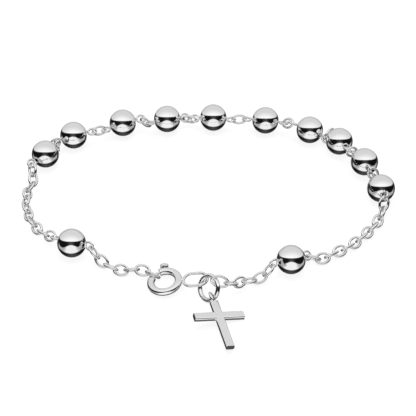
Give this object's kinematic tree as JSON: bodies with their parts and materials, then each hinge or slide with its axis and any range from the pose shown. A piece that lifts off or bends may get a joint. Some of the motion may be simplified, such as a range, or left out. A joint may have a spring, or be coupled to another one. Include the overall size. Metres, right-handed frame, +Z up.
{
  "type": "rosary bracelet",
  "caption": "Rosary bracelet of polished round silver beads and oval link chain, with a spring ring clasp and a small plain cross.",
  "frame": {"origin": "middle of the bracelet's bounding box, on the table it lies on", "axes": "+Z up from the table, +X along the row of beads towards the viewer's right, +Y away from the clasp towards the beads at the back"},
  "size_m": [0.0667, 0.058, 0.005],
  "materials": {
    "bead_silver": "polished",
    "wire_silver": "polished",
    "clasp_silver": "polished",
    "cross_silver": "satin"
  },
  "bodies": {
    "root": {"bead_01": "bead_silver", "bead_02": "bead_silver", "bead_03": "bead_silver", "bead_04": "bead_silver", "bead_05": "bead_silver", "bead_06": "bead_silver", "bead_07": "bead_silver", "bead_08": "bead_silver", "bead_09": "bead_silver", "bead_10": "bead_silver", "bead_11": "bead_silver", "bead_12": "bead_silver", "eye_pin_01": "wire_silver", "eye_pin_02": "wire_silver", "eye_pin_03": "wire_silver", "eye_pin_04": "wire_silver", "eye_pin_05": "wire_silver", "eye_pin_06": "wire_silver", "eye_pin_07": "wire_silver", "eye_pin_08": "wire_silver", "eye_pin_09": "wire_silver", "eye_pin_10": "wire_silver", "eye_pin_11": "wire_silver", "eye_pin_12": "wire_silver", "decade_link_01": "wire_silver", "decade_link_02": "wire_silver", "decade_link_03": "wire_silver", "decade_link_04": "wire_silver", "decade_link_05": "wire_silver", "decade_link_06": "wire_silver", "decade_link_07": "wire_silver", "decade_link_08": "wire_silver", "decade_link_09": "wire_silver", "chain_right": "wire_silver", "chain_left": "wire_silver", "chain_front_right": "wire_silver", "chain_front_left": "wire_silver", "clasp_ring": "clasp_silver", "end_link": "wire_silver", "jump_ring": "clasp_silver", "cross": "cross_silver"},
    "tongue": {"clasp_tongue": "clasp_silver"}
  },
  "joints": [
    {"name": "trigger_pull", "type": "hinge", "parent": "root", "child": "tongue", "pos_m": [-0.0073, -0.0141, 0.00102], "axis": [-0.1564, 0, 0.9877], "range_deg": [-46, 0], "stiffness_Nm_per_rad": 0.003, "springref_deg": 20.05}
  ]
}
